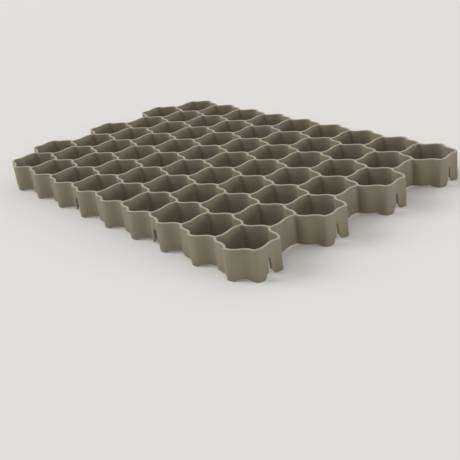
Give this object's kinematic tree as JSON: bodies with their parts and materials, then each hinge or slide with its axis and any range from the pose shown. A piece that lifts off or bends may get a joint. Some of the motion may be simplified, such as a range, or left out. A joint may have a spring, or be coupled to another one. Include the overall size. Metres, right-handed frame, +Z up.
{
  "type": "grass paver grid",
  "caption": "Moulded plastic panel of open honeycomb cells with waved walls; it lies on the ground and holds soil, turf or gravel so that wheels and feet do not sink in.",
  "frame": {"origin": "centre of the panel's bounding box, on the ground plane that the inner walls stand on", "axes": "+X along the long side, towards the end with the slotted cells; +Y across the rows, away from the slotted long side; +Z up"},
  "size_m": [0.5864, 0.385, 0.038],
  "materials": {
    "plastic": "satin"
  },
  "bodies": {
    "root": {"paver_grid": "plastic"}
  },
  "joints": []
}
